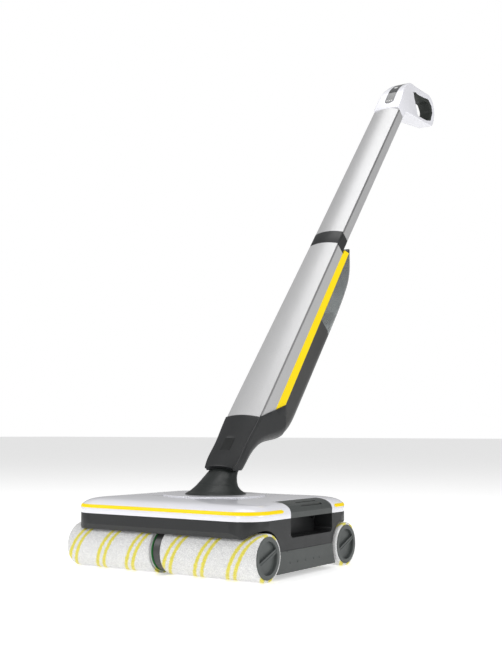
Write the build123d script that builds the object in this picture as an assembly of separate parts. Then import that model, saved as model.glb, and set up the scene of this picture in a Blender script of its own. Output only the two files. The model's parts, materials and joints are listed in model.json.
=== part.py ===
"""Cordless wet floor scrubber: a four-roller floor head, a tilting joint and a leaning stick.

World frame, millimetres: X to the right, Y to the back, Z up. The origin is on the floor under the
middle of the head, and the front of the head faces -Y. The stick is modelled upright in a frame of
its own (x = X, y = depth from the front face, z = length up the stick) and then leaned back.
"""
from math import cos, pi

from build123d import *
import os

# Rollers
ROLLER_R = 31.25
AXLE_Y = 103.75
AXLE_Z = ROLLER_R
CAP_FACE = 161.5
SLEEVE_END = 159.0
PILE_END = 161.0
CAP_R = 27.0
ROLLER_START = 6.9
CORE_R = 24.5
SPINDLE_R = 5.0

# Floor head
HEAD_HALF_X = 157.5
HEAD_HALF_Y = 133.5
HEAD_CORNER = 38.0
SKIRT_CHAMFER = (4.5, 7.5)
WALL = 2.5
FLOOR_Z = 36.0
SKIRT_Z = 55.5
SEAM_Z = 77.5
TUNNEL_R = 34.5
TUNNEL_WALL = 3.0
RECESS_Y = (-43.0, 69.0)
RECESS_Z = 51.5
RECESS_X = 128.5
RECESS_ROUND = 6.0
STRIPE_Z = (85.2, 89.8)
STRIPE_Y = (-58.0, 73.0)
LATCH_TOP_X = 131.0
LATCH_AXIS = (133.5, 89.5)
TRAY_Z = 7.0
KNOB_Y = (-44.0, -24.5, -3.5, 17.5, 33.0)
KNOB_Z = 19.5
CASE_HALF = 5.25
CASE_R = 27.5
CASE_TOP = 67.5
DRIVE_Z = 56.5
MOTOR_Y = -42.0
GEAR_SPAN = 16.0
DRIVE_FACES = (0.4, 3.6)

# Cover: height and how far the outline has moved in from the head's outline there
COVER_STEPS = (
    (SEAM_Z, 0.0),
    (85.0, 0.0),
    (89.5, 1.8),
    (93.0, 5.5),
    (95.8, 11.0),
    (97.6, 19.0),
    (98.9, 34.0),
    (100.2, 60.0),
    (100.9, 90.0),
)
PLATE_HALF = (78.0, 70.0)
PLATE_TOP = 101.8

# Joint between the head and the stick
PIVOT_Y = 2.0
PIVOT_Z = 110.0
LEAN = 39.3
PIN_R = 4.0
RUNNING = 0.05

# Stick, in its own frame: the pivot lies below the collar's lower edge
PIVOT_DEPTH = 10.5
PIVOT_BELOW = 28.0
CROWN = 5.0
CREASE = (0.8, 5.2)
CREASE_DEPTH = 0.8
SHELL = 2.2
# length up the stick, half width, depth and rear corner radius
BODY_STATIONS = (
    (0.0, 24.0, 24.0, 13.0),
    (44.0, 26.6, 28.0, 14.0),
    (76.0, 28.6, 38.0, 16.0),
    (98.0, 29.8, 56.0, 18.0),
    (120.0, 30.0, 76.0, 20.0),
    (145.0, 30.0, 87.0, 20.0),
    (180.0, 29.8, 90.0, 20.0),
    (340.0, 28.8, 90.0, 20.0),
    (450.0, 28.1, 87.0, 20.0),
    (495.0, 27.8, 75.0, 20.0),
    (515.0, 27.7, 58.0, 18.0),
    (528.0, 27.6, 45.0, 14.0),
)
BODY_TOP = BODY_STATIONS[-1][0]
COLLAR_TOP = 98.0
BAND = (497.0, 528.0)
TUBE_HALF = 27.6
TUBE_DEPTH = 26.0
TUBE_TOP = 907.0
STRIPE_FRONT = ((28.0, 137.0), (24.3, 506.0))
STRIPE_BACK = ((46.0, 162.0), (40.4, 515.0))
TANK_SPLIT = 349.0
GAP = 0.35
SOCKET_AT = 162.0
SOCKET_R = 2.75
SOCKET_DEPTH = 10.0
SCREW_AT = (185.0, 340.0)
BADGE = ((-8.4, 8.4), (31.0, 52.5))
COLLAR_PROUD = 1.2
COLLAR_FOOT_Z = 135.5
HEEL_DEPTH = TUBE_DEPTH - 0.5
BADGE_FACE = 0.2 - CROWN - COLLAR_PROUD
BUTTON_AT = 983.0
BUTTON_R = 3.6
PANEL_DEPTH = 2.4

STICK = Location((0, PIVOT_Y, PIVOT_Z), (-LEAN, 0, 0)) * Location((0, -PIVOT_DEPTH, PIVOT_BELOW))


# ---------------------------------------------------------------- small helpers
def block(x, y, z):
    """A box from three (low, high) pairs."""
    size = [high - low for low, high in (x, y, z)]
    middle = [(low + high) / 2 for low, high in (x, y, z)]
    return Pos(*middle) * Box(*size)


def rod_x(radius, x, y, z):
    """A cylinder along X between the two values of x."""
    return Pos((x[0] + x[1]) / 2, y, z) * Rot(0, 90, 0) * Cylinder(radius, abs(x[1] - x[0]))


def rod_y(radius, x, y, z):
    """A cylinder along Y between the two values of y."""
    return Pos(x, (y[0] + y[1]) / 2, z) * Rot(90, 0, 0) * Cylinder(radius, abs(y[1] - y[0]))


def rod_z(radius, x, y, z):
    """A cylinder along Z between the two values of z."""
    return Pos(x, y, (z[0] + z[1]) / 2) * Cylinder(radius, abs(z[1] - z[0]))


STEM_POCKET = block((-9.4, 9.4), (1.2, 19.8), (-10, 26))


def side_prism(points, x):
    """A polygon in the side view (Y, Z), extruded along X between the two values of x."""
    face = Plane.YZ.offset(x[0]) * make_face(Polyline(*points, close=True))
    return extrude(face, x[1] - x[0])


def mirrored(shape):
    return mirror(shape, about=Plane.YZ)


def save(name, shapes):
    """Write one sub-part, a single solid or a group of solids."""
    shapes = shapes if isinstance(shapes, (list, tuple)) else [shapes]
    solids = [solid for shape in shapes for solid in shape.solids()]
    export_step(solids[0] if len(solids) == 1 else Compound(children=solids), f"parts/{name}.step")


# ---------------------------------------------------------------- floor head
def head_prism(inset, z):
    face = RectangleRounded(
        2 * (HEAD_HALF_X - inset), 2 * (HEAD_HALF_Y - inset), HEAD_CORNER - inset
    )
    return extrude(Pos(0, 0, z[0]) * face, z[1] - z[0])


def tunnels(radius, half=170.0):
    """The two roller tunnels as solid cylinders."""
    return rod_x(radius, (-half, half), -AXLE_Y, AXLE_Z) + rod_x(radius, (-half, half), AXLE_Y, AXLE_Z)


def nozzle_places():
    for side in (-1, 1):
        for step in range(6):
            for hand in (-1, 1):
                yield hand * (24 + 22 * step), side * AXLE_Y


def bracket_screw_places():
    for x in (-22.0, 22.0):
        for y in (-12.0, 16.0):
            yield x, y


def side_pocket(grow):
    """The hand recess in the right side, grown outwards on its inner faces."""
    x = (RECESS_X - grow, HEAD_HALF_X + (5 if grow == 0 else -0.5))
    y = (RECESS_Y[0] - grow, RECESS_Y[1] + grow)
    pocket = block(x, y, (RECESS_Z - grow, SEAM_Z + (1 if grow == 0 else 0)))
    lower = pocket.edges().filter_by(Axis.X).group_by(Axis.Z)[0]
    return fillet(lower, RECESS_ROUND + grow)


def latch_lug(side, y):
    """The ear that holds one end of a latch's hinge."""
    x, z = LATCH_AXIS
    foot = block((x - 5, x + 3), (y - 1.5, y + 1.5), (SEAM_Z - 3, z))
    ear = foot + rod_y(3.6, x - 1, (y - 1.5, y + 1.5), z)
    ear -= rod_y(1.5 + RUNNING, x, (y - 2, y + 2), z)
    return ear if side > 0 else mirrored(ear)


def skirt_chamfer(side):
    """The sloping lower lip of the front or back skirt, as the volume to take away."""
    back, up = SKIRT_CHAMFER
    y = side * HEAD_HALF_Y
    points = [(y - side * back, SKIRT_Z - 1), (y, SKIRT_Z + up)]
    points += [(y + side * 5, SKIRT_Z + up), (y + side * 5, SKIRT_Z - 1)]
    return side_prism(points, (-170, 170))


def head_chassis():
    cavity = head_prism(WALL, (FLOOR_Z + TUNNEL_WALL, SEAM_Z + 1)) - tunnels(TUNNEL_R + TUNNEL_WALL)
    for side in (-1, 1):
        foot = sorted((side * (AXLE_Y + TUNNEL_R / 2), side * (HEAD_HALF_Y + 5)))
        cavity -= block((-170, 170), foot, (FLOOR_Z, SKIRT_Z + SKIRT_CHAMFER[1] + 1))
    shell = head_prism(0, (FLOOR_Z, SEAM_Z)) - tunnels(TUNNEL_R) - cavity
    for side in (-1, 1):
        skirt = sorted((side * AXLE_Y, side * (HEAD_HALF_Y + 5)))
        shell -= block((-170, 170), skirt, (FLOOR_Z - 5, SKIRT_Z))
        shell -= skirt_chamfer(side)
    pocket = side_pocket(WALL)
    hole = side_pocket(0)
    shell = shell + pocket + mirrored(pocket) - hole - mirrored(hole)
    for side in (-1, 1):
        for y in (RECESS_Y[0] + 9, RECESS_Y[1] - 9):
            shell += latch_lug(side, y)
            arm = block((RECESS_X - WALL, LATCH_AXIS[0]), (y - 1.5, y + 1.5), (SEAM_Z - 8, SEAM_Z - 1))
            shell += arm if side > 0 else mirrored(arm)
    slot = block((-CASE_HALF - GAP, CASE_HALF + GAP), (-127, 127), (FLOOR_Z - 10, CASE_TOP + GAP))
    shell -= slot
    for x, y in nozzle_places():
        shell -= rod_z(1.7, x, y, (60, 70))
    for x, y in bracket_screw_places():
        shell -= rod_z(1.55, x, y, (FLOOR_Z - 1, FLOOR_Z + 4))
        shell -= rod_z(3.2, x, y, (FLOOR_Z - 1, FLOOR_Z + 1.9))
    return shell


def cover_solid(inset):
    """The cover's full volume, moved in by inset on every side and the top."""
    faces = []
    for z, step in COVER_STEPS:
        half_x = HEAD_HALF_X + 0.5 - step - inset
        half_y = HEAD_HALF_Y + 0.5 - step - inset
        radius = HEAD_CORNER + 1 - 0.36 * step - inset
        faces.append(Pos(0, 0, z - (inset if z > SEAM_Z else 0.5 * (inset > 0))) *
                     RectangleRounded(2 * half_x, 2 * half_y, radius))
    return loft(faces, ruled=True)


def oval(grow, z):
    return extrude(Pos(0, 0, z[0]) * Ellipse(PLATE_HALF[0] + grow, PLATE_HALF[1] + grow), z[1] - z[0])


def stripe_bands():
    """The level slices that the coloured stripes take out of the cover's shoulder."""
    front = block((-170, 170), (-140, STRIPE_Y[0]), STRIPE_Z)
    rear = block((-170, 170), (STRIPE_Y[1], 140), STRIPE_Z)
    return front + rear


def latch_opening(grow):
    """The place of the right latch in the cover."""
    return block((LATCH_TOP_X - grow, 170), (RECESS_Y[0] - grow, RECESS_Y[1] + grow), (70, 105))


def head_cover_parts():
    """The white cover, its two inlaid stripes and the two latches cut from its sides."""
    outer = cover_solid(0)
    shell = outer - cover_solid(WALL)
    inlay = (outer - cover_solid(0.8)) & stripe_bands()
    cover = shell - inlay - oval(0, (90, 110))
    cover -= latch_opening(0) + mirrored(latch_opening(0))
    cover = cover.solids().sort_by(SortBy.VOLUME)[-1]
    stripes = [s for s in inlay.solids() if s.volume > 20]
    panel = (outer - cover_solid(3.2)) & latch_opening(-0.5)
    return cover, stripes, latch(panel)


def latch(panel):
    """The right latch: the curved panel with its thumb grooves, hinge arms and hinge pins."""
    panel = panel.solids().sort_by(SortBy.VOLUME)[-1]
    x, z = LATCH_AXIS
    for groove_x, groove_y in ((144.5, (-12, 40)), (151.5, (-10, 46))):
        panel -= block((groove_x, groove_x + 3), groove_y, (80, 105))
    for y, way in ((RECESS_Y[0] + 9, 1), (RECESS_Y[1] - 9, -1)):
        near = y + way * 2
        far = y + way * 6
        low, high = min(near, far), max(near, far)
        panel += block((x - 1.5, x + 3), (low, high), (z, 96.2))
        panel += rod_y(2.6, x, (low, high), z)
        panel += rod_y(1.5, x, (min(y - way * 1.4, far), max(y - way * 1.4, far)), z)
    return panel


def joint_plate():
    plate = oval(-0.3, (98.4, PLATE_TOP)) - rod_z(38, 0, 4, (90, 110))
    top = plate.edges().filter_by(GeomType.ELLIPSE).sort_by(Axis.Z)[-1]
    return fillet(top, 0.8)


def joint_bracket():
    """The cast seat of the tilting joint: two feet beside the belt case, a deck and two ears."""
    deck_z = CASE_TOP + 0.4
    body = block((-30, 30), (-20, 24), (deck_z, deck_z + 4))
    for side in (-1, 1):
        foot = (side * (CASE_HALF + 2.75), side * 30)
        body += block((min(foot), max(foot)), (-20, 24), (FLOOR_Z + TUNNEL_WALL, deck_z))
        ear = (side * 16.0, side * 21.0)
        ear_x = (min(ear), max(ear))
        body += block(ear_x, (PIVOT_Y - 8, PIVOT_Y + 8), (deck_z + 4, PIVOT_Z))
        body += rod_x(8, ear_x, PIVOT_Y, PIVOT_Z)
        body += block(ear_x, (PIVOT_Y - 16, PIVOT_Y + 16), (deck_z + 4, deck_z + 14))
    body -= rod_x(PIN_R + RUNNING, (-30, 30), PIVOT_Y, PIVOT_Z)
    for x, y in bracket_screw_places():
        body -= rod_z(1.55, x, y, (FLOOR_Z, FLOOR_Z + 16))
    return body


def head_screws():
    screws = []
    for x, y in bracket_screw_places():
        screw = rod_z(3.0, x, y, (FLOOR_Z + 0.1, FLOOR_Z + 1.8))
        screw += rod_z(1.5, x, y, (FLOOR_Z + 1.8, FLOOR_Z + 14))
        screws.append(screw - block((x - 2, x + 2), (y - 0.4, y + 0.4), (FLOOR_Z, FLOOR_Z + 0.9)))
    return screws


def boot_faces(inset):
    """Rings of the rubber boot from its round foot up to the oval neck under the collar."""
    rings = (
        (4.0, PLATE_TOP + 0.1, 0.0, 45.0, 45.0),
        (4.0, 103.6, 0.0, 42.5, 42.5),
        (5.0, 108.0, 0.0, 36.5, 36.0),
        (8.5, 115.0, 2.0, 30.5, 28.5),
        (15.5, 126.0, 7.0, 25.8, 20.5),
        (26.0, 136.0, 10.0, 22.8, 15.0),
    )
    for y, z, tilt, half_x, half_y in rings:
        yield Location((0, y, z), (-tilt, 0, 0)) * Ellipse(half_x - inset, half_y - inset - 0.001)


def joint_boot():
    """The thin rubber boot, cut off just under the collar and clear of the yoke's stem."""
    boot = loft(list(boot_faces(0))) - loft(list(boot_faces(2.0)))
    boot -= block((-60, 60), (15.5, 100), (COLLAR_FOOT_Z - 0.1, COLLAR_FOOT_Z + 30))
    boot -= STICK * block((-60, 60), (-60, 5), (-0.1, 60))
    return largest(boot - STICK * STEM_POCKET)


def case_profile(inset):
    """Side view of the belt case: two round ends on the axles and a beam between them."""
    radius = CASE_R - inset
    shape = rod_x(radius, (-CASE_HALF, CASE_HALF), -AXLE_Y, AXLE_Z)
    shape += rod_x(radius, (-CASE_HALF, CASE_HALF), AXLE_Y, AXLE_Z)
    shape += block((-CASE_HALF, CASE_HALF), (inset - 96, 96 - inset), (40.0 + inset, CASE_TOP - inset))
    for side in (-1, 1):
        belly = [(0, 40.2 + inset), (side * 88, 19.6 + inset), (side * 103, 19.6 + inset)]
        shape += side_prism(belly + [(side * 103, 50), (0, 60)], (-CASE_HALF, CASE_HALF))
    return shape


def drive_case():
    """The belt case's left half; the right half is its mirror image."""
    hollow = case_profile(1.6) & block((-4.0, 4.0), (-140, 140), (0, 90))
    case = case_profile(0) - hollow
    for y in (-AXLE_Y, AXLE_Y):
        case -= rod_x(9.5, (-10, 10), y, AXLE_Z)
    left = case & block((-10, 0), (-140, 140), (0, 90))
    right = mirrored(left)
    return left, right - rod_x(6.5, (-10, 10), MOTOR_Y, DRIVE_Z)


def gear_motor():
    """Motor can with its gearbox nose, which ends at the belt case."""
    can = rod_x(17, (26, 104), MOTOR_Y, DRIVE_Z)
    nose = rod_x(14, (CASE_HALF + 0.4, 26), MOTOR_Y, DRIVE_Z)
    rear_cap = rod_x(8, (104, 109), MOTOR_Y, DRIVE_Z)
    return can + nose + rear_cap - rod_x(3 + RUNNING, (0, 20), MOTOR_Y, DRIVE_Z)


def toothed(radius, teeth, x, y, z, turn):
    """A spur gear along X with short, slim teeth."""
    gear = rod_x(radius - 0.8, x, y, z)
    for tooth in range(teeth):
        angle = turn + 360 * tooth / teeth
        bar = Box(abs(x[1] - x[0]), 1.3, 2.2)
        gear += Pos((x[0] + x[1]) / 2, y, z) * Rot(angle, 0, 0) * Pos(0, 0, radius - 0.7) * bar
    return gear


def pulley(radius, y, z):
    """A belt pulley in the belt plane, just left of the middle."""
    low, high = DRIVE_FACES
    return rod_x(radius, (-high, -low), y, z)


def drive_pinion():
    low, high = DRIVE_FACES
    gear = toothed(8, 16, (low, high), MOTOR_Y, DRIVE_Z, 0)
    shaft = rod_x(3, (-low, 18), MOTOR_Y, DRIVE_Z)
    return gear + shaft + pulley(6, MOTOR_Y, DRIVE_Z)


def counter_gear():
    low, high = DRIVE_FACES
    y = MOTOR_Y + GEAR_SPAN
    gear = toothed(8, 16, (low, high), y, DRIVE_Z, 360 / 32)
    return gear + rod_x(3, (-low, low), y, DRIVE_Z) + pulley(6, y, DRIVE_Z)


def belt(first, second):
    """A closed flat belt round two pulleys, each given as (y, z, radius)."""
    low, high = DRIVE_FACES
    x = (-high + 0.2, -low - 0.2)
    dy, dz = second[0] - first[0], second[1] - first[1]
    span = (dy * dy + dz * dz) ** 0.5
    lean = (first[2] - second[2]) / span

    def hull(grow):
        points = []
        for way in (1, -1):
            for y, z, radius in (first, second)[::way]:
                along = lean
                across = (1 - lean * lean) ** 0.5 * way
                out_y = (dy * along - dz * across) / span
                out_z = (dz * along + dy * across) / span
                points.append((y + (radius + grow) * out_y, z + (radius + grow) * out_z))
        solid = side_prism(points, x)
        for y, z, radius in (first, second):
            solid += rod_x(radius + grow, x, y, z)
        return solid

    return hull(1.3) - hull(0.05)


def drive_belts():
    y = MOTOR_Y + GEAR_SPAN
    front = belt((MOTOR_Y, DRIVE_Z, 6), (-AXLE_Y, AXLE_Z, 11))
    rear = belt((y, DRIVE_Z, 6), (AXLE_Y, AXLE_Z, 11))
    return [front, rear]


def axle_bearings():
    rings = []
    for y in (-AXLE_Y, AXLE_Y):
        for x in ((-CASE_HALF, -3.8), (3.8, CASE_HALF)):
            rings.append(rod_x(9.45, x, y, AXLE_Z) - rod_x(SPINDLE_R + RUNNING, x, y, AXLE_Z))
    return rings


def water_bars():
    """The two bars that wet the rollers from above, with their outlets."""
    top = AXLE_Z + TUNNEL_R + TUNNEL_WALL
    bars = []
    for y in (-AXLE_Y, AXLE_Y):
        bar = block((-142, 142), (y - 5, y + 5), (top, top + 6))
        for x, place in nozzle_places():
            if place == y:
                bar += rod_z(1.5, x, y, (top - 2.5, top + 1))
        bars.append(bar)
    return bars


def water_hoses():
    """The branch that feeds both bars from the middle of the head."""
    top = AXLE_Z + TUNNEL_R + TUNNEL_WALL
    hose = rod_y(2.5, -40, (-AXLE_Y + 5, AXLE_Y - 5), top + 3)
    hose += rod_x(2.5, (-40, -30.5), 14, top + 3)
    return hose - rod_y(1.5, -40, (-AXLE_Y - 5, AXLE_Y + 5), top + 3)


def latch_springs():
    """A leaf spring under each latch, standing on the pocket's inner wall."""
    x, z = LATCH_AXIS
    middle = sum(RECESS_Y) / 2
    leaf = block((RECESS_X - WALL, RECESS_X - WALL + 1), (middle - 8, middle + 8), (SEAM_Z, z))
    leaf += block((RECESS_X - WALL, x + 2), (middle - 8, middle + 8), (z, z + 1))
    return [leaf, mirrored(leaf)]


# ---------------------------------------------------------------- dirty-water tray
def tray_solid(inset, z):
    half_x = HEAD_HALF_X - inset
    body = block((-half_x, half_x), (inset - 77, 77 - inset), z)
    return body - tunnels(TUNNEL_R + inset)


def belt_channel():
    """The groove in the tray that the belt case's belly drops into."""
    half = CASE_HALF + 0.6
    channel = block((-half, half), (-100, 100), (35, 40))
    for side in (-1, 1):
        channel += side_prism([(0, 39), (side * 88, 18.4), (side * 88, 60), (0, 60)], (-half, half))
    return channel


def dirty_tank():
    tray = tray_solid(0, (TRAY_Z, FLOOR_Z - 0.3)) - tray_solid(WALL, (TRAY_Z + WALL, FLOOR_Z + 1))
    tray += tray_solid(WALL, (TRAY_Z + 1, FLOOR_Z - 0.3)) & block((-8.4, 8.4), (-80, 80), (0, 50))
    tray -= belt_channel()
    for y in KNOB_Y:
        knob = rod_x(1.5, (HEAD_HALF_X - 1, HEAD_HALF_X + 0.5), y, KNOB_Z)
        tray += knob + mirrored(knob)
    for x in (-120, 120):
        for y in (-52, 52):
            tray += block((x - 12, x + 12), (y - 9, y + 9), (TRAY_Z - 3, TRAY_Z + 1))
    ledge = block((HEAD_HALF_X - 1, HEAD_HALF_X + 0.6), (-52, 52), (FLOOR_Z - 2, FLOOR_Z - 0.4))
    return tray + ledge + mirrored(ledge)


def hair_filters():
    """Two slotted plates that lie in the tray, one in each half."""
    plates = []
    for side in (-1, 1):
        low, high = sorted((side * 14, side * 146))
        plate = block((low, high), (-40, 40), (24, 25.6))
        for step in range(11):
            x = side * (26 + 10.8 * step)
            plate -= block((x - 2.5, x + 2.5), (-32, 32), (20, 30))
        for x in (side * 20, side * 140):
            plate += block((x - 3, x + 3), (-3, 3), (TRAY_Z + WALL, 24))
        plates.append(plate)
    return plates


def scraper_lips():
    """The four strips that squeeze dirty water out of the rollers."""
    lips = []
    for side in (-1, 1):
        for hand in (-1, 1):
            y = sorted((side * (AXLE_Y - TUNNEL_R - 0.4), side * (AXLE_Y - ROLLER_R - 0.4)))
            x = sorted((hand * 9, hand * 152))
            lip = block(x, y, (AXLE_Z - 0.8, AXLE_Z + 0.8))
            lips.append(lip - tray_solid(0, (TRAY_Z, FLOOR_Z - 0.3)))
    return lips


# ---------------------------------------------------------------- axles and rollers
def spindle(y):
    """A round middle in the bearings and two hexagonal drive ends."""
    shaft = rod_x(SPINDLE_R, (-13, 13), y, AXLE_Z)
    hexagon = RegularPolygon(SPINDLE_R, 6)
    for side in (-1, 1):
        end = extrude(Plane.YZ.offset(side * 13) * hexagon, side * 122)
        shaft += Pos(0, y, AXLE_Z) * end
    return shaft


def axle_pulley(y):
    return pulley(11, y, AXLE_Z) - rod_x(SPINDLE_R, (-10, 10), y, AXLE_Z)


def right_core(y):
    """Roller core: a tube with a drive hub at each end and a wide flange at the inner end."""
    start, end = ROLLER_START, SLEEVE_END - 1
    core = rod_x(CORE_R, (start, end), y, AXLE_Z) - rod_x(CORE_R - 2.2, (start + 4, end + 1), y, AXLE_Z)
    core += rod_x(27.8, (start, start + 1.6), y, AXLE_Z)
    core += rod_x(9, (start + 4, 134), y, AXLE_Z)
    core += rod_x(CORE_R - 1, (128, 132), y, AXLE_Z)
    core -= rod_x(SPINDLE_R + 0.25, (0, 16), y, AXLE_Z)
    bore = extrude(Plane.YZ.offset(5) * RegularPolygon(SPINDLE_R + 0.3, 6), 131)
    return core - Pos(0, y, AXLE_Z) * bore


def right_sleeve(y):
    start = ROLLER_START + 2.0
    sleeve = rod_x(ROLLER_R, (start, PILE_END), y, AXLE_Z)
    sleeve = fillet(sleeve.edges().filter_by(GeomType.CIRCLE), 2.0)
    sleeve -= rod_x(CORE_R, (0, 170), y, AXLE_Z)
    return sleeve - rod_x(CAP_R + 0.1, (SLEEVE_END, 170), y, AXLE_Z)


def right_cap(y):
    """End cap: a ring round a dished disc with a finger bar across it, and a plug in the core."""
    cap = rod_x(CAP_R, (SLEEVE_END + 0.1, CAP_FACE), y, AXLE_Z)
    cap += rod_x(CORE_R, (SLEEVE_END - 1, SLEEVE_END + 0.1), y, AXLE_Z)
    cap += rod_x(CORE_R - 2.2, (SLEEVE_END - 10, SLEEVE_END), y, AXLE_Z)
    cap -= rod_x(21.4, (SLEEVE_END - 1.5, CAP_FACE + 1), y, AXLE_Z)
    cap -= rod_x(CORE_R - 5, (SLEEVE_END - 11, SLEEVE_END - 4), y, AXLE_Z)
    bar = Box(4.0, 43.2, 5.4) - Pos(2, 0, 0) * Box(1.2, 38, 1.2)
    cap += Pos(CAP_FACE - 2.6, y, AXLE_Z) * Rot(22, 0, 0) * bar
    return cap


def save_rollers():
    for row, y in (("front", -AXLE_Y), ("rear", AXLE_Y)):
        pieces = {"sleeve": right_sleeve(y), "core": right_core(y), "cap": right_cap(y)}
        for piece, shape in pieces.items():
            save(f"{row}_right_{piece}", shape)
            save(f"{row}_left_{piece}", mirrored(shape))
        save(f"{row}_spindle", spindle(y))
        save(f"{row}_pulley", axle_pulley(y))


# ---------------------------------------------------------------- joint
def joint_cross():
    """The block of the universal joint, with its tilt pins along X and swivel pins along Y."""
    cross = Box(17, 17, 13) + Rot(0, 90, 0) * Cylinder(PIN_R, 41) + Rot(90, 0, 0) * Cylinder(PIN_R, 31)
    return Location((0, PIVOT_Y, PIVOT_Z), (-LEAN, 0, 0)) * cross


def neck_yoke():
    """The fork at the stick's foot; its stem runs up into the collar."""
    bridge = chamfer((Pos(0, 0, 13) * Box(18, 28.5, 5)).edges().filter_by(Axis.X).group_by(Axis.Z)[-1], 4)
    fork = bridge + Pos(0, 0, 36) * Box(18, 18, 44)
    for side in (-1, 1):
        fork += Pos(0, side * 11.5, 5.5) * Box(18, 5.5, 11)
        fork += Pos(0, side * 11.5, 0) * Rot(90, 0, 0) * Cylinder(9, 5.5)
    fork -= Rot(90, 0, 0) * Cylinder(PIN_R + RUNNING, 40)
    return Location((0, PIVOT_Y, PIVOT_Z), (-LEAN, 0, 0)) * fork


# ---------------------------------------------------------------- stick, in its own frame
def section(s, half, depth, radius, inset):
    """The stick's outline: a crowned front, a shallow groove in each side and round rear corners."""
    w = half - inset
    back = depth - inset
    r = max(radius - inset, 1.5)
    c = r * (1 - cos(pi / 4))
    low, high = CREASE[0] + min(inset, 0), CREASE[1]
    if inset > 0:
        low, high = low + inset, high + inset
    dip = w - CREASE_DEPTH
    edges = [
        ThreePointArc((-w, inset), (0, inset - CROWN), (w, inset)),
        Line((w, inset), (w, low)),
        ThreePointArc((w, low), (dip, (low + high) / 2), (w, high)),
        Line((w, high), (w, back - r)),
        ThreePointArc((w, back - r), (w - c, back - c), (w - r, back)),
        Line((w - r, back), (r - w, back)),
        ThreePointArc((r - w, back), (c - w, back - c), (-w, back - r)),
        Line((-w, back - r), (-w, high)),
        ThreePointArc((-w, high), (-dip, (low + high) / 2), (-w, low)),
        Line((-w, low), (-w, inset)),
    ]
    return Pos(0, 0, s) * make_face(edges)


def body_solid(inset):
    return loft([section(*station, inset) for station in BODY_STATIONS])


def stripe_line(line, s):
    """Depth of a stripe's edge at a length up the stick."""
    (t0, s0), (t1, s1) = line
    return t0 + (t1 - t0) * (s - s0) / (s1 - s0)


def collar_zone():
    front, back = STRIPE_FRONT[0], STRIPE_BACK[0]
    points = [(-20, -10), (-20, COLLAR_TOP), (0, COLLAR_TOP), front, back, (73, 127), (100, 118), (100, -10)]
    return side_prism(points, (-60, 60))


def front_zone():
    bottom, top = STRIPE_FRONT
    points = [(-20, COLLAR_TOP), (0, COLLAR_TOP), bottom, (top[0], BAND[0] - 0.1), (-20, BAND[0] - 0.1)]
    return side_prism(points, (-60, 60))


def stripe_zone():
    (t0, s0), (t1, s1) = STRIPE_FRONT
    (t2, s2), (t3, s3) = STRIPE_BACK
    edge = TUBE_DEPTH + 0.1
    corner = s1 + (s3 - s1) * (edge - t1) / (t3 - t1)
    t_band = stripe_line(STRIPE_FRONT, BAND[0] - 0.1)
    points = [(t0, s0), (t_band, BAND[0] - 0.1), (edge, BAND[0] - 0.1), (edge, corner), (t3, s3), (t2, s2)]
    return side_prism(points, (-60, 60))


def catch_zone():
    """The bridge behind the band that closes the body over the tank's front."""
    (t1, s1), (t3, s3) = STRIPE_FRONT[1], STRIPE_BACK[1]
    edge = TUBE_DEPTH + 0.1
    corner = s1 + (s3 - s1) * (edge - t1) / (t3 - t1)
    return side_prism([(edge, corner), (t3, s3), (t3, 540), (edge, 540)], (-60, 60))


def rear_zone():
    bottom = STRIPE_BACK[0]
    top = stripe_line(STRIPE_BACK, TANK_SPLIT)
    points = [bottom, (top, TANK_SPLIT), (110, TANK_SPLIT), (110, 117.7), (100, 118), (73, 127)]
    return side_prism(points, (-60, 60))


def tank_zone(inset):
    low = TANK_SPLIT + GAP + inset
    start = stripe_line(STRIPE_BACK, low) + GAP + inset
    front, corner = STRIPE_BACK[1][0] + GAP + inset, STRIPE_BACK[1][1]
    lid = BODY_TOP - inset
    points = [(start, low), (front, corner), (front, lid), (110, lid), (110, low)]
    return side_prism(points, (-60, 60))


def neck_collar(inner):
    """The collar, a little proud of the body, cut level at the bottom and closed by a floor."""
    outer = body_solid(-COLLAR_PROUD)
    collar = (outer - inner) & collar_zone()
    level = STICK.inverse() * block((-60, 60), (-60, 120), (COLLAR_FOOT_Z - 80, COLLAR_FOOT_Z))
    slab = STICK.inverse() * block((-60, 60), (-60, 120), (COLLAR_FOOT_Z, COLLAR_FOOT_Z + 2.5))
    floor = (outer & slab) + (outer & block((-40, 40), (-10, 5), (0, 2.5)))
    collar = (collar - level) + floor - STEM_POCKET
    x, s = BADGE
    return collar - block((x[0] - 0.2, x[1] + 0.2), (-9, BADGE_FACE + 1.1), (s[0] - 0.2, s[1] + 0.2))


def stick_shells():
    """The collar, the silver front shell, the two stripes and the rear housing, all of one skin."""
    outer = body_solid(0)
    inner = body_solid(SHELL)
    skin = outer - inner
    collar = neck_collar(inner)
    front = skin & front_zone()
    front += inner & block((-24, 24), (33.0, 34.6), (TANK_SPLIT - 2, 514))
    front += (outer & catch_zone()) - block((-24, 24), (0, 33.0), (500, 512))
    rear = skin & rear_zone()
    lid_y = (stripe_line(STRIPE_BACK, TANK_SPLIT), 100)
    rear += inner & block((-40, 40), lid_y, (TANK_SPLIT - SHELL, TANK_SPLIT))
    for x, s in rear_screw_places():
        rear += rod_y(5, x, (76, 88.5), s)
        rear -= rod_y(1.55, x, (70, 95), s)
        rear -= rod_y(3.2, x, (87.4, 95), s)
    rear -= rod_y(6.0, 0, (70, 100), SOCKET_AT)
    stripes = [s for s in (skin & stripe_zone()).solids() if s.volume > 100]
    return largest(collar), largest(front), stripes, largest(rear)


def largest(shape):
    return shape.solids().sort_by(SortBy.VOLUME)[-1]


def rear_screw_places():
    for x in (-14.0, 14.0):
        for s in SCREW_AT:
            yield x, s


def stick_screws():
    screws = []
    for x, s in rear_screw_places():
        screw = rod_y(1.5, x, (77, 87.5), s) + rod_y(3.0, x, (87.5, 89.2), s)
        screws.append(screw - block((x - 2, x + 2), (88.4, 90), (s - 0.4, s + 0.4)))
    return screws


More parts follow.
